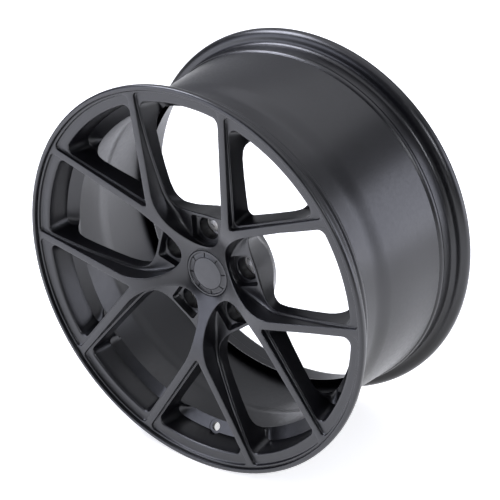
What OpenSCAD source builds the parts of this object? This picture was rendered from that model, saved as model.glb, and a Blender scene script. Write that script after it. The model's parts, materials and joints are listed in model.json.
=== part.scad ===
// Forged road and track wheel rim, 18 x 8.5J, five Y spokes, with its snap-in centre cap.
// Millimetres. The wheel stands upright: its axis is Y, the outboard face looks along -Y, +Z is up.
// The origin is the wheel's centre, halfway between the two flange lips.
// Every section is drawn as [radius, depth]. Depth runs inboard along the axis from the plane
// through the crown of the outboard flange.

/* [Rim] */
// Bead seat diameter of an 18 inch rim
bead_d = 462; // [461:0.5:463]
// Height of the flange above the bead seat (J contour)
flange_h = 17.3; // [16.9:0.1:17.8]
// Width between the flanges
rim_w = 215.9; // [210:0.1:224]
// Axial reach of the flange lip outside the bead face
lip_w = 13.95; // [13:0.05:14.4]
// Inner radius of the drop centre
well_r = 209.2; // [208:0.1:210.5]
// Metal thickness of the drop centre
well_t = 4.3; // [3.5:0.1:5]
// Depth at which the outboard section ends and the spun barrel starts
barrel_start = 52; // [51:0.5:56]
// Depth at which the drop centre's bottom ends
well_end = 78; // [72:1:90]
// Depth at which the barrel ends and the inboard bead section starts
barrel_end = 199; // [197:0.5:199]

/* [Outboard ring] */
// Inner radius of the thin ring that the spoke tops run into
ring_r = 238.7; // [237.5:0.1:239.5]
// Depth of the recessed shelf behind the ring
shelf_depth = 5.4; // [4:0.1:7]
// Inner radius of the shelf, where the deep inner wall starts
shelf_r = 225.8; // [224:0.1:228]
// Radius and depth where the inner wall meets the sloping valve band
wall_end = [223, 36]; // [0:1:300]
// Depth at which the valve band meets the drop centre
band_end_depth = 44.5; // [43:0.5:48]
// Diameter of the valve hole
valve_d = 11.3; // [11:0.1:12]

/* [Hub] */
// Offset: distance from the rim's centre plane to the mounting face
offset_et = 35; // [30:1:40]
// Pitch circle of the wheel bolts
lug_pcd = 114.3; // [112:0.1:115]
// Diameter of the stud holes
stud_d = 15; // [14:0.1:15.5]
// Diameter of the counterbores that take the nut and its socket
lug_bore_d = 28; // [27:0.5:29]
// Top diameter of the 60 degree conical seats
seat_d = 25; // [23:0.5:25.5]
// Thickness of metal under the conical seats
seat_floor = 10; // [8:0.5:12]
// Diameter of the hub-centric centre bore
bore_d = 73.1; // [66:0.1:74]
// Depth of that bore from the mounting face
bore_len = 22; // [16:0.5:24]
// Diameter of the mounting pad
pad_d = 144; // [140:1:150]
// Radius of the hub body, where the five spokes start
hub_r = 80; // [79:0.5:82]
// Depth of the web between the spoke roots
web_depth = 42; // [40:1:44]
// Depth of the flat pocket floors around the wheel bolts
pocket_depth = 50; // [48:0.5:53]
// Width of those pockets
pocket_w = 36; // [33:0.5:38]

/* [Spokes] */
// Depth of the spoke tops at the outboard ring
face_rim_depth = 1.1; // [0.8:0.1:2]
// Slope of the flat outer part of the spoke tops, in degrees
face_slope = 3.5; // [2:0.1:5]
// Slope of the spoke tops next to the centre cap, in degrees
face_dish = 26.6; // [24:0.1:28]
// Radii between which the spoke tops bend from one slope to the other
face_bend = [118, 68]; // [0:1:300]
// Width of the step that follows the spoke sides below the tops
step_w = 5; // [3:0.5:6]
// Depth of the step of a small window at its inner tip
small_step_depth = 17.5; // [15:0.5:20]
// Slopes of the step of a large window at the rim and at the hub, in degrees
large_step_slopes = [7, 20]; // [0:1:30]

/* [Centre cap] */
// Diameter of the hole that the cap snaps into
cap_hole_d = 60.4; // [58:0.1:62]
// Gap around the face of the cap
cap_gap = 0.6; // [0.4:0.1:1]
// Thickness of the cap's face
cap_face_t = 3.2; // [2.5:0.1:4]
// Diameter of the badge disc
badge_d = 41; // [36:0.5:44]
// Radial clearance of the sprung legs in the hole
leg_clearance = 0.06; // [0.02:0.01:0.1]
// Number of sprung legs
leg_count = 8; // [6:1:10]
// Length of the cap's skirt and legs behind the face
leg_len = 17; // [12:0.5:18]

/* [Hidden] */
$fn = 96;

coat = [0.20, 0.21, 0.23];
bare_metal = [0.75, 0.74, 0.72];
cap_black = [0.16, 0.16, 0.17];
spring_steel = [0.62, 0.62, 0.64];

spoke_count = 5;
pitch = 360 / spoke_count;
// Reach of the cutting shapes past the wheel: outwards, in front and behind
far = 400;
in_front = -20;
behind = 100;
// Depth that the wide part of a window stays in front of
step_limit = 60;
// Depth where the cutters of the pockets and counterbores start
cutter_top = 20;
// Depth of the spoke roots' back edge at the hub
root_back = 70;

bead_r = bead_d / 2;
flange_r = bead_r + flange_h;
crown_r = 9.5;
bead_round = 6.5;
bead_face = lip_w - 3;
crown_depth = bead_face - crown_r;
lip_front = bead_face - lip_w;
total_depth = rim_w + 2 * bead_face;
crown_z = total_depth / 2;
mount_depth = total_depth / 2 - offset_et;
cap_hole_r = cap_hole_d / 2;
bore_r = bore_d / 2;
pad_r = pad_d / 2;
lug_r = lug_pcd / 2;

// ---- helpers ----

// A cubic curve from a to d that leaves towards b and arrives from c
function curve(a, b, c, d, n = 12) = [for (i = [0 : n]) let (t = i / n, u = 1 - t)
    u * u * u * a + 3 * u * u * t * b + 3 * u * t * t * c + t * t * t * d];
// An arc about a centre, angles measured from the radius axis towards depth
function arc(c, r, a0, a1, n = 6) = [for (i = [0 : n]) let (a = a0 + (a1 - a0) * i / n)
    c + r * [cos(a), sin(a)]];
function unit(v) = v / norm(v);
// The corner at b between a and c, rounded to radius r
function corner(a, b, c, r, n = 8) =
    let (u = unit(a - b), v = unit(c - b), half = acos(u * v) / 2, m = unit(u + v),
         o = b + m * r / sin(half), s = o + (b + u * r / tan(half) - o), e = b + v * r / tan(half))
    [for (i = [0 : n]) let (p = s + (e - s) * i / n) o + r * unit(p - o)];
function mirrored(points) = [for (i = [len(points) - 1 : -1 : 0]) [-points[i][0], points[i][1]]];

// A solid of revolution from [radius, depth] points
module turned(points) {
    rotate_extrude() polygon([for (p = points) [p[0], crown_z - p[1]]]);
}
// A flat outline, seen from the front, between two depths
module prism(points, d0, d1) {
    translate([0, 0, crown_z - d1]) linear_extrude(d1 - d0) polygon(points);
}
module round_post(r, d0, d1) {
    translate([0, 0, crown_z - d1]) cylinder(r = r, h = d1 - d0);
}
// Turns a shape clockwise from straight up, as seen from the front
module clocked(a) { rotate([0, 0, -a]) children(); }
// Stands the wheel up: the outboard side goes to -Y
module upright() { rotate([90, 0, 0]) children(); }

// ---- sections ----

// Spoke tops: a shallow cone outside, a steeper one by the cap and an arc between them
bend_r = (face_bend[0] - face_bend[1]) / (sin(face_dish) - sin(face_slope));
bend_depth = face_rim_depth + (ring_r - face_bend[0]) * tan(face_slope);
bend_centre = [face_bend[0] + bend_r * sin(face_slope), bend_depth + bend_r * cos(face_slope)];
face_arc = [for (i = [0 : 8]) let (a = face_slope + (face_dish - face_slope) * i / 8)
    bend_centre - bend_r * [sin(a), cos(a)]];
dish_end = face_arc[len(face_arc) - 1];
cap_edge = [cap_hole_r, dish_end[1] + (dish_end[0] - cap_hole_r) * tan(face_dish)];
// The top's height where the hub body ends and the spokes begin
hub_cut_a = asin((bend_centre[0] - hub_r) / bend_r);
hub_cut = [hub_r, bend_centre[1] - bend_r * cos(hub_cut_a)];
spoke_arc = [for (p = face_arc) if (p[0] > hub_r + 1) p];
hub_arc = [for (p = face_arc) if (p[0] < hub_r - 1) p];

// Inside of the outboard section, from the ring back to the drop centre
shelf_corner = [ring_r - 1.4, shelf_depth - 0.1];
inner_line = [[ring_r, face_rim_depth], [ring_r - 0.7, shelf_depth - 0.8], shelf_corner,
              [shelf_r + 1.3, shelf_depth + 0.5], [shelf_r, shelf_depth + 2.2], wall_end,
              [well_r, band_end_depth]];

// Tyre side of a flange and its bead seat, down to the hump
function tyre_side() = concat(
    arc([flange_r - crown_r, crown_depth], crown_r, 0, 90, 8),
    arc([bead_r + bead_round, bead_face + bead_round], bead_round, 270, 180, 5),
    [[bead_r - 1.5, bead_face + 18.5], [bead_r - 0.4, bead_face + 21.5], [bead_r - 0.6, bead_face + 24],
     [bead_r - 2.6, bead_face + 27.5]]);
// The same on the inboard end, seen from the centre outwards
function tyre_side_back() = [for (i = [len(tyre_side()) - 1 : -1 : 0]) let (p = tyre_side()[i])
    [p[0], total_depth - p[1]]];

// Steps along the window sides. The small windows' is nearly flat; the large windows' runs down
// to the web between the spoke roots.
shelf_end = [shelf_r, shelf_depth + 0.5];
step_start = [[ring_r + 1, shelf_depth], shelf_end];
small_tip_r = 104;
small_step = concat(step_start, [[small_tip_r, small_step_depth]]);
third = (shelf_r - hub_r) / 3;
large_step = concat(step_start, curve(shelf_end, shelf_end + third * [-1, tan(large_step_slopes[0])],
    [hub_r + third, web_depth - third * tan(large_step_slopes[1])], [hub_r, web_depth], 8));
// Back of the spokes, from the drop centre's edge to the hub
back_line = curve([well_r, band_end_depth], [196, 18], [132, 20], [hub_r, root_back], 12);

// ---- openings seen from the front, drawn with their own axis upwards ----

// Small window, between the two arms of a spoke: its tip and one of its straight sides
small_tip = [0, 103.7];
small_side = [77.4, 225.6];
// Large window, between two spokes: a curve round the wheel bolt, then a straight side
large_bottom = [0, 38.2];
large_shoulder = [-51.6, 103];
large_side = [-59.2, 231.2];
large_curve = curve(large_bottom, [-27, 38.2], [-49.5, 76], large_shoulder);

// The point at height y on the line from a to b
function at_height(a, b, y) = a + (b - a) * (y - a[1]) / (b[1] - a[1]);
past_ring = 250;
function small_window(grow, tip_r) = let (
    tip = small_tip + [0, grow],
    side = at_height(tip, tip + small_side - small_tip, past_ring),
    round_tip = corner([-side[0], side[1]], tip, side, tip_r))
    concat([[-side[0], side[1]]], round_tip, [side]);
function closed_half(half) = concat(half, [for (p = mirrored(half)) if (p[0] > 0.01) p]);

small_top = small_window(0, 4);
small_low = small_window(step_w * 1.85, 5);
large_top = closed_half(concat(large_curve, [at_height(large_shoulder, large_side, past_ring)]));
low_shoulder = [large_shoulder[0] + step_w, 70.5];
low_side = at_height(low_shoulder, large_side + [step_w, 0], past_ring);
low_bottom = [0, hub_r - 2];
large_low = closed_half(concat([low_bottom], corner(low_bottom, low_shoulder, low_side, 25), [low_side]));

// A window: its shallow part, as wide as the gap between the spoke tops, down to the step,
// and its narrower part all the way through
module window(shallow, step, through) {
    intersection() {
        prism(shallow, in_front, step_limit);
        turned(concat([[0, -far / 2], [ring_r + 1, -far / 2]], step, [[0, step[len(step) - 1][1]]]));
    }
    prism(through, in_front, behind);
}
module large_window() { window(large_top, large_step, large_low); }
module small_window_cut() { window(small_top, small_step, small_low); }

// ---- rim ----

// Direction of the valve hole, square to the sloping band
band_tilt = atan2(wall_end[0] - well_r, band_end_depth - wall_end[1]);
valve_at = (wall_end * 0.62 + [well_r, band_end_depth] * 0.38);

module valve_hole() {
    clocked(180) translate([0, valve_at[0], crown_z - valve_at[1]])
        rotate([90 - band_tilt, 0, 0]) cylinder(d = valve_d, h = 24, center = true);
}
module front_rim() {
    lip = [[ring_r + 2.3, face_rim_depth - 0.8], [ring_r + 3.6, lip_front + 0.5],
           [flange_r - 3.3, lip_front]];
    lip_round = arc([flange_r - 2.6, lip_front + 2.6], 2.6, 285, 360, 5);
    slope_end = [well_r + well_t + 1, barrel_start - 2.5];
    color(coat) upright() difference() {
        turned(concat(lip, lip_round, tyre_side(), [slope_end, [well_r + well_t, barrel_start],
            [well_r, barrel_start], [well_r, band_end_depth]],
            [for (i = [len(inner_line) - 2 : -1 : 0]) inner_line[i]]));
        valve_hole();
    }
}
module rim_barrel() {
    rise = 16.2;
    color(coat) upright() turned(concat(
        [[well_r + well_t, barrel_start], [well_r + well_t, well_end]],
        curve([well_r + well_t, well_end], [well_r + well_t + 0.3, well_end + 8],
              [well_r + well_t + 3.2, well_end + 14], [well_r + well_t + 5.4, well_end + 28], 5),
        [[well_r + well_t + rise - 1.2, barrel_end], [well_r + rise, barrel_end]],
        curve([well_r + 6, well_end + 28], [well_r + 3.6, well_end + 14],
              [well_r + 0.3, well_end + 8], [well_r, well_end], 5),
        [[well_r, barrel_start]]));
}
module rear_flange() {
    rise = 16.2;
    lip_back = total_depth - lip_front;
    inner = curve([flange_r - 12, lip_back - 2.5], [bead_r - 1, lip_back - 7], [bead_r - 4.6, lip_back - 12],
                  [bead_r - 4.8, lip_back - 22], 6);
    color(coat) upright() turned(concat(
        [[well_r + well_t + rise - 1.2, barrel_end]], tyre_side_back(),
        arc([flange_r - 2.6, lip_back - 2.6], 2.6, 0, 90, 5),
        [[flange_r - 6, lip_back], [flange_r - 8, lip_back - 1.5]], inner, [[well_r + rise, barrel_end]]));
}

// ---- hub ----

// Counterbore that takes the nut and its socket
module lug_bore() {
    translate([0, lug_r, 0]) round_post(lug_bore_d / 2, cutter_top, mount_depth + 1);
}
seat_h = (seat_d - stud_d) / 2 / tan(30);
seat_top = mount_depth - seat_floor - seat_h;

module hub_blank() {
    pad_fillet = curve([hub_r, root_back], [hub_r - 3.5, root_back + 3], [pad_r, root_back + 4.5],
        [pad_r, root_back + 8], 4);
    turned(concat([cap_edge, dish_end],
        [for (i = [len(hub_arc) - 1 : -1 : 0]) if (hub_arc[i][0] > dish_end[0] + 0.1) hub_arc[i]],
        [hub_cut], pad_fillet,
        [[pad_r, mount_depth - 1], [pad_r - 1, mount_depth], [bore_r + 1, mount_depth],
         [bore_r, mount_depth - 1], [bore_r, mount_depth - bore_len],
         [cap_hole_r, mount_depth - bore_len]]));
}
// Flat-bottomed pocket around a wheel bolt, open to nothing but the front
module bolt_pocket() {
    half = concat(corner([0, 39], [-pocket_w / 2, 39], [-pocket_w / 2, hub_r - 3], 8),
                  corner([-pocket_w / 2, 39], [-pocket_w / 2, hub_r - 6.5], [0, hub_r - 3], 5));
    prism(concat(half, mirrored(half)), cutter_top, pocket_depth);
}
module hub() {
    color(coat) upright() difference() {
        hub_blank();
        for (i = [0 : spoke_count - 1]) clocked(i * pitch) {
            large_window();
            bolt_pocket();
            lug_bore();
        }
    }
}
// Bare machined seats: the ring of metal at the bottom of each counterbore, with its cone and stud hole
module lug_seats() {
    color(bare_metal) upright() for (i = [0 : spoke_count - 1]) clocked(i * pitch)
        translate([0, lug_r, crown_z]) rotate_extrude() polygon([
            [stud_d / 2, -mount_depth], [lug_bore_d / 2, -mount_depth], [lug_bore_d / 2, -seat_top],
            [seat_d / 2, -seat_top], [stud_d / 2, -seat_top - seat_h]]);
}

// ---- spokes ----

// One Y spoke, pointing straight up, between the hub body and the outboard section
module spoke_up() {
    sector_edge = far * [sin(pitch / 2), cos(pitch / 2)];
    wedge = [[0, 0], [-sector_edge[0], sector_edge[1]], sector_edge];
    difference() {
        intersection() {
            turned(concat([hub_cut], [for (i = [len(spoke_arc) - 1 : -1 : 0]) spoke_arc[i]], inner_line,
                [for (i = [1 : len(back_line) - 1]) back_line[i]]));
            prism(wedge, in_front, behind);
        }
        clocked(-pitch / 2) large_window();
        clocked(pitch / 2) large_window();
        small_window_cut();
    }
}
module spoke(i) {
    color(coat) upright() clocked(180 + (i - 1) * pitch) spoke_up();
}

// ---- centre cap ----

cap_r = cap_hole_r - cap_gap;
leg_r = cap_hole_r - leg_clearance;
leg_root_r = cap_hole_r - 1.2;
leg_inner_r = cap_hole_r - 3;
face_depth = cap_edge[1];
badge_r = badge_d / 2;
badge_floor = face_depth + 1.4;
leg_end = face_depth + leg_len;
spring_depth = leg_end - 4;
spring_wire_r = 0.8;

module cap_body() {
    cap_back = face_depth + cap_face_t;
    slot_w = 3;
    color(cap_black) upright() difference() {
        turned([[0, badge_floor], [badge_r + 0.1, badge_floor], [badge_r + 0.1, face_depth + 0.9],
            [badge_r + 2.6, face_depth + 0.9], [badge_r + 3.4, face_depth + 0.1], [cap_r - 1.2, face_depth],
            [cap_r, face_depth + 1], [cap_r, cap_back], [leg_root_r, cap_back + 0.6],
            [leg_root_r, leg_end - 6], [leg_r, leg_end - 4.6], [leg_r, leg_end - 2.6], [leg_root_r, leg_end],
            [leg_inner_r, leg_end], [leg_inner_r, spring_depth + 1], [leg_inner_r + 0.7, spring_depth + 1],
            [leg_inner_r + 0.7, spring_depth - 1], [leg_inner_r, spring_depth - 1], [leg_inner_r, cap_back],
            [0, cap_back]]);
        for (i = [0 : leg_count - 1]) rotate([0, 0, (i + 0.5) * 360 / leg_count])
            translate([cap_hole_r - 6, -slot_w / 2, crown_z - leg_end - 1]) cube([8, slot_w, leg_len - 6]);
    }
}
module cap_badge() {
    color(cap_black) upright() turned([[0, face_depth + 0.2], [badge_r - 0.5, face_depth + 0.2],
        [badge_r, face_depth + 0.6], [badge_r, badge_floor], [0, badge_floor]]);
}
module cap_spring() {
    color(spring_steel) upright() translate([0, 0, crown_z - spring_depth]) rotate_extrude()
        translate([leg_inner_r + 0.6 - spring_wire_r, 0]) circle(r = spring_wire_r, $fn = 24);
}

front_rim();
rim_barrel();
rear_flange();
hub();
lug_seats();
spoke(1);  // spoke_1
spoke(2);  // spoke_2
spoke(3);  // spoke_3
spoke(4);  // spoke_4
spoke(5);  // spoke_5
cap_body();
cap_badge();
cap_spring();
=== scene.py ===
"""The forged wheel rim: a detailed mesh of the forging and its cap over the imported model, with its materials.

The wheel's sections are drawn as (radius, depth) in millimetres. Depth runs inboard from the plane through
the crown of the outboard flange, as in the design. A window is drawn with its own axis upwards: x runs
across it, and y outwards from the wheel's centre.
"""

import json
import math

import bmesh
import bpy
import numpy as np
from mathutils import Matrix, Vector
from mathutils.geometry import delaunay_2d_cdt


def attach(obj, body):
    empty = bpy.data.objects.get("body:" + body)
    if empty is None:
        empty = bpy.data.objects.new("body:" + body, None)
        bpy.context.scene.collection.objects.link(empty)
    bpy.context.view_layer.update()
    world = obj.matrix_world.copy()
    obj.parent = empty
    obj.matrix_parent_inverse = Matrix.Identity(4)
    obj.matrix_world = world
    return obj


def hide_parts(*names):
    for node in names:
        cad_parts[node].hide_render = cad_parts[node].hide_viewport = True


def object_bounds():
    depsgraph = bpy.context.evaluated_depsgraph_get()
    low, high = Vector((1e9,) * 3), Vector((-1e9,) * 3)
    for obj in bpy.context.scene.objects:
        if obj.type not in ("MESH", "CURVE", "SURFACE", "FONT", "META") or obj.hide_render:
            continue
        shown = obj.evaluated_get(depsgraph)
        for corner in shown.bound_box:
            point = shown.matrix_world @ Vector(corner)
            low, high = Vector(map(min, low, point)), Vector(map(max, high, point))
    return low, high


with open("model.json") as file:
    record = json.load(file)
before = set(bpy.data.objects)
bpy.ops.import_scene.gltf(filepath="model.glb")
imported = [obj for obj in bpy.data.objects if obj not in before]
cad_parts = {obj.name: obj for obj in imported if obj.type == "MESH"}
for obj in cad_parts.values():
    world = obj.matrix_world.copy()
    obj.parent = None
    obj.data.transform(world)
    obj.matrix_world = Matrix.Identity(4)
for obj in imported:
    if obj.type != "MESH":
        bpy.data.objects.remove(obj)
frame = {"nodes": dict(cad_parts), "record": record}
cad_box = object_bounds()

# ---- driving dimensions, in millimetres and degrees ----

MM = 0.001
TURN = 2 * math.pi
HALF_WIDTH = (cad_box[1].y - cad_box[0].y) / 2 / MM
LIP = 3.0                                   # the flange lip stands this far in front of depth 0
CENTRE_DEPTH = HALF_WIDTH - LIP
TOTAL_DEPTH = 2 * CENTRE_DEPTH
FLANGE_R = cad_box[1].z / MM
SPOKES = 5
PITCH = 360 // SPOKES

RING_OUT_R, RING_R = 241.0, 238.7           # outside and inside of the thin ring at the spoke ends
RING_DEPTH = 1.1
SHELF_R = 225.8                             # inner edge of the recessed shelf
SHELF_DEPTH = 5.9
WALL_END = (223.0, 36.0)                    # where the inner wall meets the valve band
WELL_R, WELL_DEPTH = 209.2, 44.5            # where the valve band meets the drop centre
BARREL_START, BARREL_END = 52.0, 199.0
FACE_SLOPE, FACE_DISH = 3.5, 26.6           # slopes of the spoke tops, outside and by the cap
BEND = (118.0, 68.0)                        # radii between which they bend
EDGE_ROUND = 0.9                            # rounding of the spoke tops' edges
RIDGE_Y, RIDGE_DEPTH = 78.0, 42.0           # web between the spoke roots
RIDGE_SOFT = 2.0                            # how softly the large windows' step levels out on it
HUB_R, HUB_REAR = 80.0, 75.0                # where the spokes start, in front and behind
PAD_R, MOUNT_DEPTH = 72.0, TOTAL_DEPTH / 2 - 35
BORE_R = frame["record"]["mounts"][0]["dims"]["r_mm"]
CAP_HOLE_R = 30.2
CAP_EDGE_R = CAP_HOLE_R + 0.5
CAP_LAND_DEPTH = 61.9
LUG_R = frame["record"]["mounts"][1]["dims"]["pcd_mm"] / 2
LUG_BORE_R = 14.0
POCKET_DEPTH, POCKET_HALF_W = 50.0, 18.0
VALVE_R, VALVE_FACE_R = 5.65, 9.5           # the valve hole and the flat face round it
VALVE_PLACE = 0.62                          # how far up the valve band the hole lies

STEP_W, SMALL_STEP_W = 3.5, 3.0             # width of the windows' steps
TOP_CORNER, STEP_CORNER = 6.0, 9.0          # the windows' corner radii at the spoke tops and below the step
CORNER_GROWTH = 2.0                         # more corner radius at the back
TOP_TIP_R, STEP_TIP_R = 3.3, 4.5            # the same for the hub end of the small windows
LARGE_DRAFT, LARGE_RIM_DRAFT = 3.5, 1.8     # how far the walls lean in from the step to the back
RIDGE_DRAFT, SMALL_DRAFT = 3.0, 4.0
WALL_LEAN = 0.03                            # lean of the wall above the step, for its height
FILLET_OF_HEIGHT, FILLET_OF_STEP = 0.42, 0.7
FILLET_MIN, FILLET_MAX = 0.3, 9
STEP_EDGE, SHELF_EDGE_EXTRA = 0.8, 1.6      # the shelf's edge is rounder than the step's


# ---- small geometry helpers ----

def cubic(a, b, c, d, n):
    """n points of a cubic curve that leaves a towards b and arrives at d from c."""
    t = np.linspace(0, 1, n)[:, None]
    a, b, c, d = (np.array(p, float) for p in (a, b, c, d))
    return (1 - t) ** 3 * a + 3 * (1 - t) ** 2 * t * b + 3 * (1 - t) * t ** 2 * c + t ** 3 * d


def unit(v):
    return v / np.linalg.norm(v)


def rounded(points, radii, n=5):
    """A polyline with its inner corners rounded; radii is one number or one for each inner corner."""
    points = [np.array(p, float) for p in points]
    if np.isscalar(radii):
        radii = [radii] * (len(points) - 2)
    out = [points[0]]
    for a, b, c, r in zip(points, points[1:], points[2:], radii):
        u, v = unit(a - b), unit(c - b)
        half = math.acos(np.clip(u @ v, -1, 1)) / 2
        if r == 0 or half > math.radians(89):
            out.append(b)
            continue
        centre = b + unit(u + v) * r / math.sin(half)
        start, end = b + u * r / math.tan(half), b + v * r / math.tan(half)
        out += [centre + r * unit(start + (end - start) * i / n - centre) for i in range(n + 1)]
    return np.array(out + [points[-1]])


def circle(r, angles):
    return np.stack([r * np.sin(angles), r * np.cos(angles)], 1)


def turned_by(points, clock):
    """Window coordinates turned clockwise, as seen from the front, to the window's place."""
    c, s = math.cos(math.radians(clock)), math.sin(math.radians(clock))
    return np.stack([points[:, 0] * c + points[:, 1] * s, points[:, 1] * c - points[:, 0] * s], 1)


def place(points, depth, clock=0.0):
    """Window coordinates and a depth, or one for each point, in the row frame and in metres."""
    across, up = turned_by(points, clock).T
    return np.stack([across * MM, (depth - CENTRE_DEPTH) * MM + 0 * across, up * MM], -1)


class Builder:
    """Collects vertices and faces, then makes one object of them."""

    WELD, SHORTEST = 1e-5, 1e-7             # metres

    def __init__(self):
        self.points, self.faces, self.count = [], [], 0

    def add(self, points):
        self.points.append(points)
        self.count += len(points)
        return np.arange(self.count - len(points), self.count)

    def strip(self, rows):
        """Quads round the object between rows of equal length."""
        for low, high in zip(rows, rows[1:]):
            n = len(low)
            for i in range(n):
                j = (i + 1) % n
                self.faces.append((low[i], low[j], high[j], high[i]))

    def make(self, name):
        mesh = bpy.data.meshes.new(name)
        faces = [tuple(int(i) for i in face) for face in self.faces]
        mesh.from_pydata(np.vstack(self.points).tolist(), [], faces)
        work = bmesh.new()
        work.from_mesh(mesh)
        bmesh.ops.remove_doubles(work, verts=work.verts, dist=self.WELD)
        bmesh.ops.dissolve_degenerate(work, edges=work.edges, dist=self.SHORTEST)
        bmesh.ops.recalc_face_normals(work, faces=work.faces)
        work.to_mesh(mesh)
        work.free()
        mesh.shade_smooth()
        obj = bpy.data.objects.new(name, mesh)
        bpy.context.scene.collection.objects.link(obj)
        return obj


def solid(name, sections, clock=0.0):
    """A closed solid through sections (outline, depth), with a flat face at each end."""
    body = Builder()
    rows = [body.add(place(outline, depth, clock)) for outline, depth in sections]
    body.strip(rows)
    body.faces += [tuple(rows[0]), tuple(rows[-1][::-1])]
    return body.make(name)


def turned_solid(name, profile, angles, sunk=None):
    """A turned solid from (radius, depth) points; sunk(r, angles) may sink it at some angles."""
    tip_r = 0.01
    return solid(name, [(circle(max(r, tip_r), angles), depth + (sunk(r, angles) if sunk else 0))
                        for r, depth in profile])


def cut(obj, cutters):
    """Takes the cutters' solids out of an object."""
    for cutter in cutters:
        tool = obj.modifiers.new("cut", "BOOLEAN")
        tool.operation, tool.solver, tool.object = "DIFFERENCE", "EXACT", cutter
    depsgraph = bpy.context.evaluated_depsgraph_get()
    mesh = bpy.data.meshes.new_from_object(obj.evaluated_get(depsgraph))
    obj.modifiers.clear()
    obj.data = mesh
    for cutter in cutters:
        bpy.data.objects.remove(cutter)


# ---- sections ----

BEND_R = (BEND[0] - BEND[1]) / (math.sin(math.radians(FACE_DISH)) - math.sin(math.radians(FACE_SLOPE)))
BEND_TOP = RING_DEPTH + (RING_R - BEND[0]) * math.tan(math.radians(FACE_SLOPE))
BEND_CENTRE = (BEND[0] + BEND_R * math.sin(math.radians(FACE_SLOPE)),
               BEND_TOP + BEND_R * math.cos(math.radians(FACE_SLOPE)))


def face_depth(r):
    """Spoke tops: a shallow cone, an arc and a steeper cone by the cap."""
    r = np.asarray(r, float)
    cone = RING_DEPTH + (RING_R - r) * math.tan(math.radians(FACE_SLOPE))
    arc = BEND_CENTRE[1] - np.sqrt(BEND_R ** 2 - (np.clip(r, BEND[1], BEND[0]) - BEND_CENTRE[0]) ** 2)
    return np.where(r > BEND[0], cone, arc + np.maximum(BEND[1] - r, 0) * math.tan(math.radians(FACE_DISH)))


def small_step(r):
    """Step of the small windows."""
    return SHELF_DEPTH + (SHELF_R - np.asarray(r, float)) * 0.0955


def large_step(r):
    """Step of the large windows, which runs down to the web between the spoke roots."""
    q = SHELF_R - np.asarray(r, float)
    return np.where(q > 0, SHELF_DEPTH + 0.122 * q + 0.00085 * q * q, SHELF_DEPTH + 0.05 * q)


BACK = np.array([(PAD_R, MOUNT_DEPTH - 1), (HUB_REAR, 75), (80, 66), (90, 55), (105, 45), (120, 39),
                 (140, 34.5), (165, 30), (185, 27.5), (193, 28.5), (199, 31.5), (205, 37),
                 (WELL_R, WELL_DEPTH)])


def back_depth(r):
    """Back of the spokes, which thickens to the hub and to the drop centre."""
    return np.interp(r, BACK[:, 0], BACK[:, 1])


def web_depth(r):
    """Step of the large windows, levelled out between the spoke roots."""
    return RIDGE_DEPTH - RIDGE_SOFT * np.log1p(np.exp((RIDGE_DEPTH - large_step(r)) / RIDGE_SOFT))


def rim_radius(depth):
    """Inside of the rim, from the shelf to the drop centre."""
    line = np.array([(SHELF_R, SHELF_DEPTH), WALL_END, (WELL_R, WELL_DEPTH)])
    return float(np.interp(depth, line[:, 1], line[:, 0]))


# ---- window outlines: half of each, from the hub end to the rim, on the left of the window's axis ----

CURVE_N, SIDE_N, CORNER_N, ARC_N = 25, 36, 8, 14   # points on each stretch
TIP_N = CURVE_N // 2                        # and round the hub end of a small window


def outline(curve, point, along, inward, rim_r, corner_r):
    """A curve, then the side's straight line, a rounded corner and the rim's arc up to the window's axis."""
    middle = point + inward * corner_r
    b = middle @ along
    reach = -b + math.sqrt(b * b - middle @ middle + (rim_r - corner_r) ** 2)
    centre, start = middle + along * reach, point + along * reach
    end = centre * rim_r / (rim_r - corner_r)
    line = [curve[-1] + (start - curve[-1]) * i / SIDE_N for i in range(1, SIDE_N + 1)]
    first = math.atan2(*(start - centre)[::-1]) % (2 * math.pi)
    last = math.atan2(*(end - centre)[::-1])
    turns = [first + (last - first) * i / CORNER_N for i in range(1, CORNER_N + 1)]
    corner = [centre + corner_r * np.array((math.cos(a), math.sin(a))) for a in turns]
    edge = math.atan2(end[0], end[1])
    arc = [rim_r * np.array((math.sin(edge * (1 - i / ARC_N)), math.cos(edge * (1 - i / ARC_N))))
           for i in range(1, ARC_N + 1)]
    return np.vstack([curve, line, corner, arc])


LARGE_A, LARGE_B = np.array((-52.0, 103.0)), np.array((-60.1, 229.2))
LARGE_ALONG = unit(LARGE_B - LARGE_A)
LARGE_IN = np.array((LARGE_ALONG[1], -LARGE_ALONG[0]))
SMALL_APEX = np.array((0.0, 103.7))
SMALL_HALF_ANGLE = math.atan(0.644)
SMALL_ALONG = np.array((-math.sin(SMALL_HALF_ANGLE), math.cos(SMALL_HALF_ANGLE)))
SMALL_IN = np.array((SMALL_ALONG[1], -SMALL_ALONG[0]))


def large_top(offset, rim_r, corner_r):
    """Large window at the spoke tops, moved into the window by offset."""
    curve = cubic((0, 38.2), (-27, 38.2), (-49.5, 76), LARGE_A, CURVE_N)
    run = np.gradient(curve, axis=0)
    run[0], run[-1] = (-1, 0), LARGE_ALONG
    run /= np.linalg.norm(run, axis=1)[:, None]
    moved = curve + np.stack([run[:, 1], -run[:, 0]], 1) * offset
    return outline(moved, LARGE_A + LARGE_IN * offset, LARGE_ALONG, LARGE_IN, rim_r, corner_r)


def large_through(offset, offset_at_rim, hub_y, rim_r, corner_r):
    """Large window below its step, where its hub end is the web between the spoke roots."""
    near, far = LARGE_A + LARGE_IN * offset, LARGE_B + LARGE_IN * offset_at_rim
    along = unit(far - near)
    on_side = lambda y: near + along * (y - near[1]) / along[1]
    curve = cubic((0, hub_y), (-38, hub_y - 2), on_side(hub_y + 4), on_side(hub_y + 30), CURVE_N)
    return outline(curve, near, along, np.array((along[1], -along[0])), rim_r, corner_r)


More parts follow.
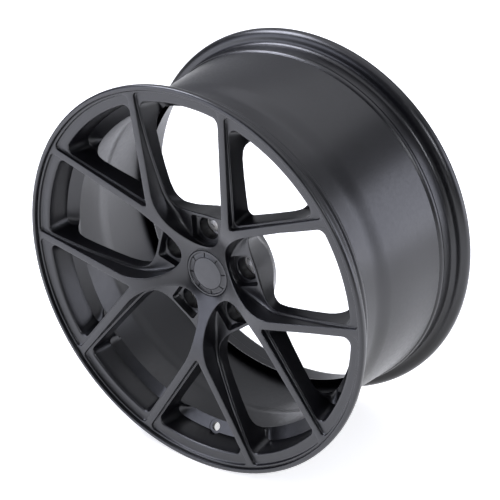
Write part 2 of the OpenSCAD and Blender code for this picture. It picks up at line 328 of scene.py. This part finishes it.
def small_outline(offset, rim_r, corner_r, tip_r):
    """Small window, moved inwards by offset."""
    apex = SMALL_APEX + (0, offset / math.sin(SMALL_HALF_ANGLE))
    centre = apex + (0, tip_r / math.sin(SMALL_HALF_ANGLE))
    turns = np.linspace(-math.pi / 2, -math.pi + SMALL_HALF_ANGLE, TIP_N)
    curve = centre + tip_r * np.stack([np.cos(turns), np.sin(turns)], 1)
    return outline(curve, apex, SMALL_ALONG, SMALL_IN, rim_r, corner_r)


def closed(half):
    """The whole outline from its left half."""
    return np.vstack([half, (half * (-1, 1))[-2:0:-1]])


# ---- the windows' walls, as rows of points from the spoke tops to the back ----

def window_rows(top_line, step_line, through_line, step):
    """Rows (half outline, depth) down one window's wall. top_line(offset, rim_r) is the outline at the spoke
    tops, step_line the edge of the step, and through_line(part) the wall from the step to the back, where part
    is 1. step(r) is the depth of the step."""
    rows = []
    for turn in (0, 30, 60, 90):
        a = math.radians(turn)
        outside = EDGE_ROUND * (1 - math.sin(a))
        half = top_line(-outside, RING_R + outside)
        rows.append((half, face_depth(np.hypot(*half.T)) + EDGE_ROUND * (1 - math.cos(a))))
    top, top_depth = rows[-1]
    reach = np.linalg.norm(step_line - top, axis=1)
    toward = (step_line - top) / reach[:, None]
    height = step(np.hypot(*step_line.T)) - top_depth
    count = len(top)
    rimward = np.clip((np.arange(count) - (count - ARC_N - CORNER_N - 1)) / CORNER_N, 0, 1)
    edge = STEP_EDGE + SHELF_EDGE_EXTRA * rimward
    foot = np.minimum(WALL_LEAN * height, 0.2 * reach)
    room = FILLET_OF_STEP * (reach - edge - foot)
    fillet = np.clip(np.minimum(FILLET_OF_HEIGHT * height, room), FILLET_MIN, FILLET_MAX)

    def row(distance, lift):
        half = top + toward * distance[:, None]
        rows.append((half, step(np.hypot(*half.T)) + lift))

    for turn in (0, 22, 45, 67, 90):
        a = math.radians(turn)
        row(foot + fillet * (1 - math.cos(a)), -fillet * (1 - math.sin(a)))
    start = foot + fillet
    for part in (0.35, 0.7):
        row(start + (reach - edge - start) * part, 0)
    for turn in (0, 30, 60, 90):
        a = math.radians(turn)
        row(reach - edge * (1 - math.sin(a)), edge * (1 - math.cos(a)))
    knee = (WALL_END[1] - SHELF_DEPTH) / (WELL_DEPTH - SHELF_DEPTH)
    by_knee = [knee + part for part in (-0.06, -0.02, 0, 0.02, 0.06)]
    for part in (0.12, 0.25, 0.4, 0.55, *by_knee, 0.9, 0.97, 1.0):
        half = through_line(part)
        r = np.hypot(*half.T)
        start_depth = step(r)
        rows.append((half, start_depth + part * (back_depth(r) - start_depth)))
    return rows


def rim_at(part):
    """Inside of the rim, part of the way from the shelf's depth to the drop centre."""
    return rim_radius(SHELF_DEPTH + part * (WELL_DEPTH - SHELF_DEPTH))


def large_rows():
    return window_rows(
        lambda offset, rim_r: large_top(offset, rim_r, TOP_CORNER - offset),
        large_through(STEP_W, STEP_W, RIDGE_Y, SHELF_R, STEP_CORNER),
        lambda part: large_through(STEP_W + LARGE_DRAFT * part, STEP_W + LARGE_RIM_DRAFT * part,
                                   RIDGE_Y - RIDGE_DRAFT * part, rim_at(part),
                                   STEP_CORNER + CORNER_GROWTH * part),
        web_depth)


def small_rows():
    return window_rows(
        lambda offset, rim_r: small_outline(offset, rim_r, TOP_CORNER - offset, TOP_TIP_R - offset),
        small_outline(SMALL_STEP_W, SHELF_R, STEP_CORNER, STEP_TIP_R),
        lambda part: small_outline(SMALL_STEP_W + SMALL_DRAFT * part, rim_at(part),
                                   STEP_CORNER + CORNER_GROWTH * part, STEP_TIP_R + CORNER_GROWTH * part),
        small_step)


# ---- the forging's skin ----

FRONT_RIM, RIM_BARREL, REAR_FLANGE, HUB = range(4)
OWNERS = ["front_rim", "rim_barrel", "rear_flange", "hub"] + [f"spoke_{i}" for i in range(1, SPOKES + 1)]
LARGE_CLOCKS = [PITCH * i for i in range(SPOKES)]
SMALL_CLOCKS = [PITCH / 2 + PITCH * i for i in range(SPOKES)]
PAD_SEGMENTS = 180
FRONT_SPACING, BACK_SPACING = 4.0, 3.5
FRONT_RINGS = np.arange(34, 238, FRONT_SPACING)
BACK_RINGS = np.array([73.5, 75, 77, 79, 81.5, 84.5, 88, 92, 96, 100, 105, 110, 116, 122, 129, 136, 144, 152,
                       160, 168, 176, 181, 185, 188.5, 191.5, 194, 196.5, 198.7, 200.8, 202.6, 204.2, 205.6,
                       206.8, 208])         # closer together where the back curves more
CLEAR_OF_EDGE = 0.45                        # inner points keep this part of their spacing from an edge


def owner_at(x, y):
    """Index in OWNERS of the ring, hub or spoke at each point. Spoke 1 points down, and they count clockwise."""
    r = np.hypot(x, y)
    spoke = np.round((np.degrees(np.arctan2(x, y)) - 180) / PITCH).astype(int) % SPOKES
    return np.where(r > RING_R, FRONT_RIM, np.where(r < HUB_R, HUB, HUB + 1 + spoke))


def rim_owner(depth):
    """Index in OWNERS of the stretch of the rim at a depth."""
    return FRONT_RIM if depth < BARREL_START else RIM_BARREL if depth < BARREL_END else REAR_FLANGE


def inside(points, loop):
    """Which points lie inside a closed loop."""
    x, y = points[:, :1], points[:, 1:]
    ax, ay = loop[:, 0], loop[:, 1]
    bx, by = np.roll(ax, -1), np.roll(ay, -1)
    crosses = (ay > y) != (by > y)
    with np.errstate(divide="ignore", invalid="ignore"):
        hit = crosses & (x < (bx - ax) * (y - ay) / (by - ay) + ax)
    return hit.sum(1) % 2 == 1


def filled(skin, outer, holes, radii, spacing, depth):
    """Triangles inside the outer loop and outside the holes, at depth(r). Their inner points lie about a
    spacing apart on circles of the given radii."""
    loops, edges = [outer] + holes, []
    for loop in loops:
        first, n = len(edges), len(loop)                # each loop so far has as many edges as points
        edges += [(first + i, first + (i + 1) % n) for i in range(n)]
    border = np.vstack(loops)
    grid = np.vstack([circle(r, np.arange(0, TURN, spacing / r)) for r in radii])
    gap = np.full(len(grid), np.inf)
    for part in np.array_split(border, 20):
        gap = np.minimum(gap, np.linalg.norm(grid[:, None] - part[None], axis=2).min(1))
    flat = np.vstack([border, grid[gap > spacing * CLEAR_OF_EDGE]])
    result = delaunay_2d_cdt([Vector(p) for p in flat.tolist()], edges, [], 0, 1e-4)
    corners = np.array([v[:] for v in result[0]])
    tris = np.array(result[2])
    middle = corners[tris].mean(1)
    keep = inside(middle, outer) & (np.hypot(*middle.T) > radii[0] - spacing)
    for hole in holes:
        keep &= ~inside(middle, hole)
    ids = skin.add(place(corners, depth(np.hypot(*corners.T))))
    return [tuple(ids[t]) for t in tris[keep]]


def outer_profile():
    """The turned section of the rim: from the ring over the lip and the tyre side to the barrel's inside."""
    back = lambda p: (p[0], TOTAL_DEPTH - p[1])
    bead_r, crown = FLANGE_R - 17.3, 9.5
    bead_face = crown + 1.45
    lip = rounded([(RING_OUT_R, float(face_depth(RING_OUT_R))), (RING_OUT_R + 0.1, RING_DEPTH + 0.9),
                   (RING_OUT_R + 1.0, RING_DEPTH + 0.9), (RING_OUT_R + 1.4, -LIP + 0.4),
                   (RING_OUT_R + 2.4, -LIP), (FLANGE_R, -LIP), (FLANGE_R, 1.45)],
                  [0.3, 0.3, 0.6, 0.8, 2.7], 5)
    turns = np.radians(np.linspace(0, 90, 11))[1:]
    crown_arc = np.stack([FLANGE_R - crown + crown * np.cos(turns), 1.45 + crown * np.sin(turns)], 1)
    seat = rounded([crown_arc[-1], (bead_r, bead_face), (bead_r - 1.5, bead_face + 18.5),
                    (bead_r - 0.3, bead_face + 21.5), (bead_r - 0.8, bead_face + 25),
                    (WELL_R + 4.6, BARREL_START - 1.5), (WELL_R + 4.3, BARREL_START)],
                   [6.2, 2, 2, 4, 6], 6)[1:]
    rim_side = np.vstack([lip, crown_arc, seat])
    slope = cubic((WELL_R + 4.3, 78), (WELL_R + 4.6, 87), (WELL_R + 7.6, 93), (WELL_R + 9.8, 106), 9)
    barrel = np.vstack([[(WELL_R + 4.3, 65)], slope, [(WELL_R + 14.4, 153)]])
    rear = np.array([back(p) for p in rim_side[10:][::-1]])
    rear[0:1] = (WELL_R + 19.1, BARREL_END)
    inboard = cubic((FLANGE_R - 7, TOTAL_DEPTH + LIP), (FLANGE_R - 14, TOTAL_DEPTH + 0.5),
                    (FLANGE_R - 20, TOTAL_DEPTH - 4), (FLANGE_R - 20.6, TOTAL_DEPTH - 9), 9)
    groove = rounded([inboard[-1], (226.6, TOTAL_DEPTH - 26), (225.6, TOTAL_DEPTH - 27), (225.2, BARREL_END)],
                     [1, 1], 4)[1:]
    inner_slope = cubic((WELL_R + 6.2, 106), (WELL_R + 3.6, 94), (WELL_R + 0.4, 88), (WELL_R, 79), 9)
    drop_centre = [(WELL_R, depth) for depth in (62, BARREL_START, WELL_DEPTH + 2, WELL_DEPTH)]
    bore = np.vstack([[(220.5, 153)], inner_slope, drop_centre])
    return np.vstack([rim_side, barrel, rear, inboard, groove, bore])


def pad_profile():
    """The turned section of the hub, from the mounting pad through both bores to the edge round the cap."""
    cap_depth = float(face_depth(CAP_EDGE_R))
    return [(PAD_R, MOUNT_DEPTH - 1), (PAD_R - 0.3, MOUNT_DEPTH - 0.3), (PAD_R - 1, MOUNT_DEPTH),
            (62, MOUNT_DEPTH), (50, MOUNT_DEPTH), (BORE_R + 1, MOUNT_DEPTH), (BORE_R, MOUNT_DEPTH - 1),
            (BORE_R, CAP_LAND_DEPTH), (CAP_HOLE_R, CAP_LAND_DEPTH), (CAP_HOLE_R, cap_depth + 0.75),
            (CAP_HOLE_R + 0.15, cap_depth + 0.3), (CAP_EDGE_R, cap_depth)]


def face_middles(skin, faces):
    """The x and y of each face's middle, in millimetres."""
    points = np.vstack(skin.points) / MM
    middle = np.array([points[list(face)].mean(0) for face in faces])
    return middle[:, 0], middle[:, 2]


def add_window(skin, rows, clock, hub_n):
    """Adds one window's wall, with hub_n points round half of its hub end, and gives its faces' owners."""
    lines = [skin.add(place(closed(half), np.concatenate([depth, depth[-2:0:-1]]), clock))
             for half, depth in rows]
    before = len(skin.faces)
    skin.strip(lines)
    n = len(lines[0])
    column = np.tile(np.minimum(np.arange(n), n - 1 - np.arange(n)), len(lines) - 1)
    on_rim = column >= hub_n + SIDE_N - 1
    return np.where(on_rim, FRONT_RIM, owner_at(*face_middles(skin, skin.faces[before:]))).tolist()


def add_turned(skin, profile, angles, owner_of):
    """Adds a turned stretch, and gives its faces' owners from owner_of(depth)."""
    skin.strip([skin.add(place(circle(r, angles), depth)) for r, depth in profile])
    return [owner_of((a + b) / 2) for (_, a), (_, b) in zip(profile, profile[1:]) for _ in angles]


def rim_angles(outlines):
    """Angles of the points round the edge of the drop centre: those where the windows' outlines follow it,
    and about one for each degree between them."""
    arcs = []
    for line in outlines:
        on_rim = line[np.abs(np.hypot(*line.T) - WELL_R) < 1e-6]
        arcs.append(np.arctan2(on_rim[:, 0], on_rim[:, 1]))
    ends = [(a.min(), a.max()) if np.ptp(a) < math.pi else (a[a > 0].min() - TURN, a[a < 0].max())
            for a in arcs]
    ends = sorted((first % TURN, last - first) for first, last in ends)
    between = []
    for (first, span), (following, _) in zip(ends, ends[1:] + [(ends[0][0] + TURN, 0)]):
        steps = max(2, round(math.degrees(following - first - span)))
        gap = circle(WELL_R, np.linspace(first + span, following, steps + 1))[1:-1]
        between.append(np.arctan2(gap[:, 0], gap[:, 1]))
    angles = np.sort(np.concatenate(arcs + between) % TURN)
    return angles[np.concatenate([[True], np.diff(angles) > 1e-6])]


def forging_skin():
    """The closed surface of the whole forging, with the owner of each face."""
    skin, owners, fronts, backs = Builder(), [], [], []
    for rows, clocks, hub_n in ((large_rows(), LARGE_CLOCKS, CURVE_N), (small_rows(), SMALL_CLOCKS, TIP_N)):
        for clock in clocks:
            owners += add_window(skin, rows, clock, hub_n)
            fronts.append(turned_by(closed(rows[0][0]), clock))
            backs.append(turned_by(closed(rows[-1][0]), clock))
    rim = rim_angles(backs)
    hub = np.arange(PAD_SEGMENTS) * 2 * math.pi / PAD_SEGMENTS
    sides = ((RING_OUT_R, fronts, CAP_EDGE_R, FRONT_RINGS, FRONT_SPACING, face_depth),
             (WELL_R, backs, PAD_R, BACK_RINGS, BACK_SPACING, back_depth))
    for outer_r, windows, inner_r, radii, spacing, depth in sides:
        holes = windows + [circle(inner_r, hub)]
        faces = filled(skin, circle(outer_r, rim), holes, radii, spacing, depth)
        owners += owner_at(*face_middles(skin, faces)).tolist()
        skin.faces += faces
    owners += add_turned(skin, outer_profile(), rim, rim_owner)
    owners += add_turned(skin, pad_profile(), hub, lambda depth: HUB)
    return skin, owners


def with_owner(obj, owners):
    """Notes on each face of an object which part of the forging it belongs to."""
    obj.data.attributes.new("owner", "INT", "FACE").data.foreach_set("value", owners)
    return obj


# ---- solids that cut the bolt pockets, the nut recesses and the valve hole ----

def owned_cutter(name, sections, clock, owner):
    body = solid(name, sections, clock)
    return with_owner(body, [owner] * len(body.data.polygons))


def pocket_outline(half_w, end_y):
    """A bolt pocket: its hub end follows the window's, and its other end is rounded at the web."""
    hub_end = large_top(0.7, RING_R, TOP_CORNER)[:CURVE_N]
    xs = np.linspace(0, -(half_w - 0.6), 10)
    ys = np.interp(-xs, -hub_end[:, 0], hub_end[:, 1])
    side = rounded([(-half_w, ys[-1] + 2.0), (-half_w, end_y - 0.6), (0, end_y)], [4.0], 5)
    return closed(np.vstack([np.stack([xs, ys], 1), side]))


def pocket_cutter(clock):
    sections = ((POCKET_HALF_W + 5, 20, RIDGE_Y + 1), (POCKET_HALF_W + 2, 39, RIDGE_Y - 2.5),
                (POCKET_HALF_W + 0.6, POCKET_DEPTH - 2.4, RIDGE_Y - 6),
                (POCKET_HALF_W, POCKET_DEPTH - 0.9, RIDGE_Y - 7),
                (POCKET_HALF_W - 0.7, POCKET_DEPTH, RIDGE_Y - 8))
    return owned_cutter(f"cut_pocket_{clock}", [(pocket_outline(half_w, end_y), depth)
                                          for half_w, depth, end_y in sections], clock, HUB)


def recess_cutter(clock):
    around = np.linspace(0, TURN, 65)[:-1]
    sections = ((LUG_BORE_R + 1.4, 20), (LUG_BORE_R + 1.4, POCKET_DEPTH - 0.4),
                (LUG_BORE_R + 0.4, POCKET_DEPTH + 0.5), (LUG_BORE_R, POCKET_DEPTH + 1.8),
                (LUG_BORE_R, MOUNT_DEPTH + 4))
    return owned_cutter(f"cut_recess_{clock}", [(circle(r, around) + (0, LUG_R), depth) for r, depth in sections],
                  clock, HUB)


def valve_cutter(name, r, start, end):
    """A cylinder through the valve band, from start to end along the hole's axis."""
    wall_end, well = np.array(WALL_END), np.array((WELL_R, WELL_DEPTH))
    band = wall_end - well
    at = wall_end * VALVE_PLACE + well * (1 - VALVE_PLACE)
    along = unit(np.array((-band[1], band[0])))          # out of the band, towards the tyre
    around = np.linspace(0, TURN, 49)[:-1]
    sections = []
    for reach in (start, end):
        centre = at + along * reach
        up = r * np.sin(around)
        radial, depth = centre[0] + up * unit(band)[0], centre[1] + up * unit(band)[1]
        sections.append((np.stack([r * np.cos(around), radial], 1), depth))
    return owned_cutter(name, sections, 180, FRONT_RIM)


def pocket_cutters():
    cutters = [make(clock) for clock in LARGE_CLOCKS for make in (pocket_cutter, recess_cutter)]
    return cutters + [valve_cutter("cut_valve", VALVE_R, -8, 14),
                      valve_cutter("cut_valve_face", VALVE_FACE_R, -8, 0.5)]


def split_by_owner(obj):
    """One object for each part of the forging, with the shading of the whole."""
    mesh = obj.data
    mesh.shade_smooth()
    mesh.set_sharp_from_angle(angle=math.radians(42))
    owner = np.empty(len(mesh.polygons), int)
    mesh.attributes["owner"].data.foreach_get("value", owner)
    points = np.array([v.co[:] for v in mesh.vertices])
    normals = np.array([n.vector[:] for n in mesh.corner_normals])
    pieces = {}
    for index, name in enumerate(OWNERS):
        polygons = [mesh.polygons[i] for i in np.nonzero(owner == index)[0]]
        corners = [list(p.vertices) for p in polygons]
        used, packed = np.unique([v for c in corners for v in c], return_inverse=True)
        faces, start = [], 0
        for c in corners:
            faces.append(packed[start:start + len(c)].tolist())
            start += len(c)
        part = bpy.data.meshes.new(name + "_skin")
        part.from_pydata(points[used].tolist(), [], faces)
        part.shade_smooth()
        loops = [i for p in polygons for i in p.loop_indices]
        part.normals_split_custom_set(normals[loops].tolist())
        pieces[name] = bpy.data.objects.new(name + "_skin", part)
        bpy.context.scene.collection.objects.link(pieces[name])
    bpy.data.objects.remove(obj)
    return pieces


# ---- materials ----

def link(tree, source, output, target, socket):
    tree.links.new(source.outputs[output], target.inputs[socket])


def noise_node(tree, coords, scale, detail, stretch=None):
    node = tree.nodes.new("ShaderNodeTexNoise")
    node.inputs["Scale"].default_value = scale
    node.inputs["Detail"].default_value = detail
    if stretch:
        mapping = tree.nodes.new("ShaderNodeMapping")
        mapping.inputs["Scale"].default_value = stretch
        link(tree, coords, "Object", mapping, "Vector")
        link(tree, mapping, "Vector", node, "Vector")
    else:
        link(tree, coords, "Object", node, "Vector")
    return node


def ramp_node(tree, noise, low, high):
    """Spreads the middle of a noise from low to high."""
    node = tree.nodes.new("ShaderNodeMapRange")
    for socket, value in (("From Min", 0.35), ("From Max", 0.65), ("To Min", low), ("To Max", high)):
        node.inputs[socket].default_value = value
    link(tree, noise, "Fac", node, "Value")
    return node


def surface(name, dark, light, roughness, grain, grain_height, tint_scale, metallic=0.0, specular=0.5,
            stretch=None):
    """A procedural finish: two close colours, uneven gloss and a fine grain, with a rounded shading edge."""
    material = bpy.data.materials.new(name)
    material.use_nodes = True
    tree = material.node_tree
    shader = tree.nodes["Principled BSDF"]
    shader.inputs["Metallic"].default_value = metallic
    shader.inputs["Specular IOR Level"].default_value = specular
    coords = tree.nodes.new("ShaderNodeTexCoord")
    broad = noise_node(tree, coords, tint_scale, 4.0)
    colour = tree.nodes.new("ShaderNodeMix")
    colour.data_type = "RGBA"
    colour.inputs[6].default_value = (*dark, 1)
    colour.inputs[7].default_value = (*light, 1)
    link(tree, ramp_node(tree, broad, 0, 1), "Result", colour, 0)
    link(tree, colour, 2, shader, "Base Color")
    fine = noise_node(tree, coords, grain, 2.0, stretch)
    gloss = noise_node(tree, coords, grain / 6, 3.0, stretch)
    link(tree, ramp_node(tree, gloss, *roughness), "Result", shader, "Roughness")
    bump = tree.nodes.new("ShaderNodeBump")
    bump.inputs["Strength"].default_value = 0.2
    bump.inputs["Distance"].default_value = grain_height
    link(tree, fine, "Fac", bump, "Height")
    soft = tree.nodes.new("ShaderNodeBevel")
    soft.samples = 4
    soft.inputs["Radius"].default_value = 0.4 * MM
    link(tree, soft, "Normal", bump, "Normal")
    link(tree, bump, "Normal", shader, "Normal")
    return material


def coated_behind(material, y, coat_colour):
    """The machined finish gives way to the coat behind the plane y, on the mounting side."""
    tree = material.node_tree
    shader = tree.nodes["Principled BSDF"]
    coords, parts = tree.nodes.new("ShaderNodeTexCoord"), tree.nodes.new("ShaderNodeSeparateXYZ")
    side, front = tree.nodes.new("ShaderNodeMath"), tree.nodes.new("ShaderNodeMath")
    mix = tree.nodes.new("ShaderNodeMix")
    side.operation, front.operation, mix.data_type = "GREATER_THAN", "SUBTRACT", "RGBA"
    side.inputs[1].default_value = y
    front.inputs[0].default_value = 1
    mix.inputs[7].default_value = (*coat_colour, 1)
    link(tree, coords, "Object", parts, "Vector")
    link(tree, parts, "Y", side, 0)
    link(tree, side, 0, front, 1)
    link(tree, side, 0, mix, 0)
    tree.links.new(shader.inputs["Base Color"].links[0].from_socket, mix.inputs[6])
    link(tree, mix, 2, shader, "Base Color")
    link(tree, front, 0, shader, "Metallic")


coat = surface("satin_coat", (0.0013, 0.0013, 0.0021), (0.0022, 0.0022, 0.0034), (0.28, 0.34), 1500.0,
               0.02 * MM, specular=0.55, tint_scale=35.0)
bare = surface("machined_seat", (0.72, 0.71, 0.69), (0.86, 0.85, 0.83), (0.26, 0.38), 900.0, 0.01 * MM,
               metallic=1.0, stretch=(1, 9, 1), tint_scale=120.0)
coated_behind(bare, (MOUNT_DEPTH - 0.3 - CENTRE_DEPTH) * MM, (0.0018, 0.0018, 0.0028))
plastic = surface("cap_plastic", (0.012, 0.012, 0.013), (0.017, 0.017, 0.018), (0.38, 0.46), 2200.0,
                  0.012 * MM, specular=0.55, tint_scale=80.0)
disc_finish = surface("cap_disc", (0.014, 0.014, 0.016), (0.019, 0.019, 0.021), (0.34, 0.42), 1800.0,
                      0.01 * MM, specular=0.6, tint_scale=150.0)
wire = surface("spring_wire", (0.48, 0.47, 0.45), (0.60, 0.59, 0.57), (0.2, 0.32), 1400.0, 0.004 * MM,
               metallic=1.0, tint_scale=200.0)

# ---- the forging, as pieces over its CAD nodes ----

skin, skin_owners = forging_skin()
whole = with_owner(skin.make("forging"), skin_owners)
cut(whole, pocket_cutters())
pieces = split_by_owner(whole)
for node, piece in pieces.items():
    piece.data.materials.append(coat)
    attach(piece, "wheel")
    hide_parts(node)

# ---- centre cap ----

CAP_R = CAP_HOLE_R - 0.6
CAP_FACE = float(face_depth(CAP_HOLE_R))
CAP_BACK = CAP_FACE + 3.2                   # back of the cap's face plate, where the skirt starts
DISC_R, DISC_BACK = 20.5, CAP_FACE + 1.19
LEGS, LEG_END = 8, CAP_FACE + 17.0
LEG_OUT_R, LEG_IN_R, BARB_R = CAP_HOLE_R - 1.2, CAP_HOLE_R - 3, CAP_HOLE_R - 0.06
NOTCHES, NOTCH_PHASE, NOTCH_DEPTH = 8, 36.5, 1.5
NOTCH_ANGLE = math.degrees(0.65 / 24.5)     # half of a notch's width, at the middle of the sunken ring


def cap_angles():
    """Angles of the cap's points, closer together at the edges of the notches."""
    even = np.arange(0, 360, 3.0)
    marks = []
    for i in range(NOTCHES):
        at = NOTCH_PHASE + 360 / NOTCHES * i
        even = even[np.abs((even - at + 180) % 360 - 180) > NOTCH_ANGLE * 1.8]
        marks += [at - NOTCH_ANGLE * 1.25, at - NOTCH_ANGLE, at, at + NOTCH_ANGLE, at + NOTCH_ANGLE * 1.25]
    return np.radians(np.sort(np.concatenate([even, np.array(marks) % 360])))


def notch(r, angles):
    """Depth of the radial notches in the cap's sunken ring."""
    if not 21.4 < r < 27.3:
        return 0
    half_pitch = 180 / NOTCHES
    away = np.abs((np.degrees(angles) - NOTCH_PHASE + half_pitch) % (360 / NOTCHES) - half_pitch)
    return np.where(away < NOTCH_ANGLE * 1.1, NOTCH_DEPTH, 0.0)


def cap_shell():
    """The cap's face with its sunken ring, and the skirt cut into sprung legs."""
    face = [(0, 1.2), (DISC_R + 0.1, 1.2), (DISC_R + 0.35, 0.9), (DISC_R + 0.6, 0.35), (DISC_R + 0.8, 0.3),
            (21.5, 0.36), (22.4, 0.75), (24.3, 1.4), (26.1, 1.9), (26.7, 1.8), (27.2, 0.8), (27.45, 0.2),
            (27.7, 0), (28.9, 0), (CAP_R - 0.25, 0.12), (CAP_R, 0.5)]
    skirt = [(CAP_R, CAP_BACK), (LEG_OUT_R, CAP_FACE + 3.8), (LEG_OUT_R, LEG_END - 6), (BARB_R, LEG_END - 4.6),
             (BARB_R, LEG_END - 2.6), (LEG_OUT_R, LEG_END), (LEG_IN_R, LEG_END), (LEG_IN_R, CAP_BACK),
             (0, CAP_BACK)]
    profile = [(r, CAP_FACE + sunk) for r, sunk in face] + skirt
    shell = turned_solid("cap_shell", profile, cap_angles(), notch)
    slit = np.array([(-1.5, 24), (1.5, 24), (1.5, 33), (-1.5, 33)])
    cut(shell, [solid(f"cut_slit_{i}", [(slit, CAP_FACE + 6), (slit, LEG_END + 1)], (i + 0.5) * 360 / LEGS)
                for i in range(LEGS)])
    shell.data.shade_smooth()
    shell.data.set_sharp_from_angle(angle=math.radians(35))
    shell.data.materials.append(plastic)
    return shell


def cap_disc():
    """The plain disc pressed into the cap's face."""
    face = CAP_FACE + 0.2
    profile = [(0, face), (8, face), (DISC_R - 0.45, face), (DISC_R - 0.15, CAP_FACE + 0.28),
               (DISC_R, CAP_FACE + 0.55), (DISC_R, DISC_BACK), (0, DISC_BACK)]
    disc = turned_solid("cap_disc", profile, np.radians(np.arange(0, 360, 2.5)))
    disc.data.set_sharp_from_angle(angle=math.radians(60))
    disc.data.materials.append(disc_finish)
    return disc


for piece, node, slot in ((cap_shell(), "cap_body", "cap_plastic"), (cap_disc(), "cap_badge", "badge")):
    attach(piece, "centre_cap")
    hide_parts(node)
for node, material in (("cap_spring", wire), ("lug_seats", bare)):
    for holder in frame["nodes"][node].material_slots:
        holder.material = material

# ---- floor, light and camera ----

CLOCKING = Matrix.Rotation(math.radians(3), 4, "Y")        # the wheel on show stands 3 degrees round
CAMERA_AZIMUTH, CAMERA_ELEVATION = math.radians(36.358), math.radians(28.244)
CAMERA_DISTANCE, CAMERA_RIGHT, CAMERA_DOWN = 1.7166, 0.0052, 0.0014
FLOOR_HALF = 9


def pale_floor():
    """A lit table, so that shadows on it stay pale."""
    z = cad_box[0].z
    mesh = bpy.data.meshes.new("floor")
    corners = [(x * FLOOR_HALF, y * FLOOR_HALF, z) for x, y in ((-1, -1), (1, -1), (1, 1), (-1, 1))]
    mesh.from_pydata(corners, [], [(0, 1, 2, 3)])
    material = surface("pale_floor", (0.86, 0.86, 0.865), (0.89, 0.89, 0.895), (0.75, 0.85), 40.0, 0.0,
                       specular=0.2, tint_scale=0.8)
    shader = material.node_tree.nodes["Principled BSDF"]
    shader.inputs["Emission Color"].default_value = (1, 1, 1, 1)
    shader.inputs["Emission Strength"].default_value = 0.66
    mesh.materials.append(material)
    obj = bpy.data.objects.new("floor", mesh)
    bpy.context.scene.collection.objects.link(obj)
    return obj


def lamp(name, position, target, size, watts, tint):
    data = bpy.data.lights.new(name, "AREA")
    data.shape, data.size, data.size_y = "RECTANGLE", *size
    data.energy, data.color = watts, tint
    obj = bpy.data.objects.new(name, data)
    aim = (Vector(target) - Vector(position)).to_track_quat("-Z", "Y").to_matrix().to_4x4()
    obj.matrix_world = CLOCKING @ (Matrix.Translation(position) @ aim)
    bpy.context.scene.collection.objects.link(obj)


def studio_world():
    """A surrounding that is dim on the camera's side and light behind the wheel."""
    world = bpy.data.worlds.new("studio")
    world.use_nodes = True
    tree = world.node_tree
    coords = tree.nodes.new("ShaderNodeTexCoord")
    parts = tree.nodes.new("ShaderNodeSeparateXYZ")
    fade = tree.nodes.new("ShaderNodeMapRange")
    fade.interpolation_type = "SMOOTHSTEP"
    for socket, value in (("From Min", -0.1), ("From Max", 0.7), ("To Min", 0.14), ("To Max", 0.52)):
        fade.inputs[socket].default_value = value
    link(tree, coords, "Generated", parts, "Vector")
    link(tree, parts, "Y", fade, "Value")
    link(tree, fade, "Result", tree.nodes["Background"], "Strength")
    tree.nodes["Background"].inputs["Color"].default_value = (0.90, 0.92, 1.0, 1)
    return world


def front_camera():
    """A camera to the front right and a little above, aimed close to the wheel's centre."""
    level = math.cos(CAMERA_ELEVATION)
    back = Vector((math.sin(CAMERA_AZIMUTH) * level, -math.cos(CAMERA_AZIMUTH) * level,
                   math.sin(CAMERA_ELEVATION)))
    right = Vector((math.cos(CAMERA_AZIMUTH), math.sin(CAMERA_AZIMUTH), 0))
    up = back.cross(right)
    camera = bpy.data.objects.new("camera", bpy.data.cameras.new("camera"))
    camera.data.sensor_width, camera.data.lens = 36, 99.643
    axes = Matrix((right, up, back)).transposed().to_4x4()
    position = back * CAMERA_DISTANCE + right * CAMERA_RIGHT - up * CAMERA_DOWN
    camera.matrix_world = CLOCKING @ (Matrix.Translation(position) @ axes)
    bpy.context.scene.collection.objects.link(camera)
    return camera


floor = pale_floor()
lamp("front_left", (-1.35, -1.8, 0.55), (0, 0, -0.05), (1.5, 1.6), 27, (0.80, 0.83, 1))
lamp("right", (2.0, 1.4, 0.45), (0, 0, 0.05), (1.3, 1.6), 22, (0.84, 0.86, 1))
lamp("upper_left", (-1.6, -0.3, 2.1), (0, 0, 0), (1.2, 1.2), 85, (0.84, 0.86, 1))
lamp("edges", (1.75, -1.0, 1.3), (0, 0, 0), (0.6, 0.6), 15, (0.90, 0.92, 1))
lamp("overhead", (-0.3, 0.6, 3.2), (-0.2, 0.3, 0), (4.5, 4.5), 60, (0.92, 0.93, 1))
bpy.context.scene.world = studio_world()
bpy.context.scene.view_settings.view_transform = "Standard"
bpy.context.scene.camera = front_camera()
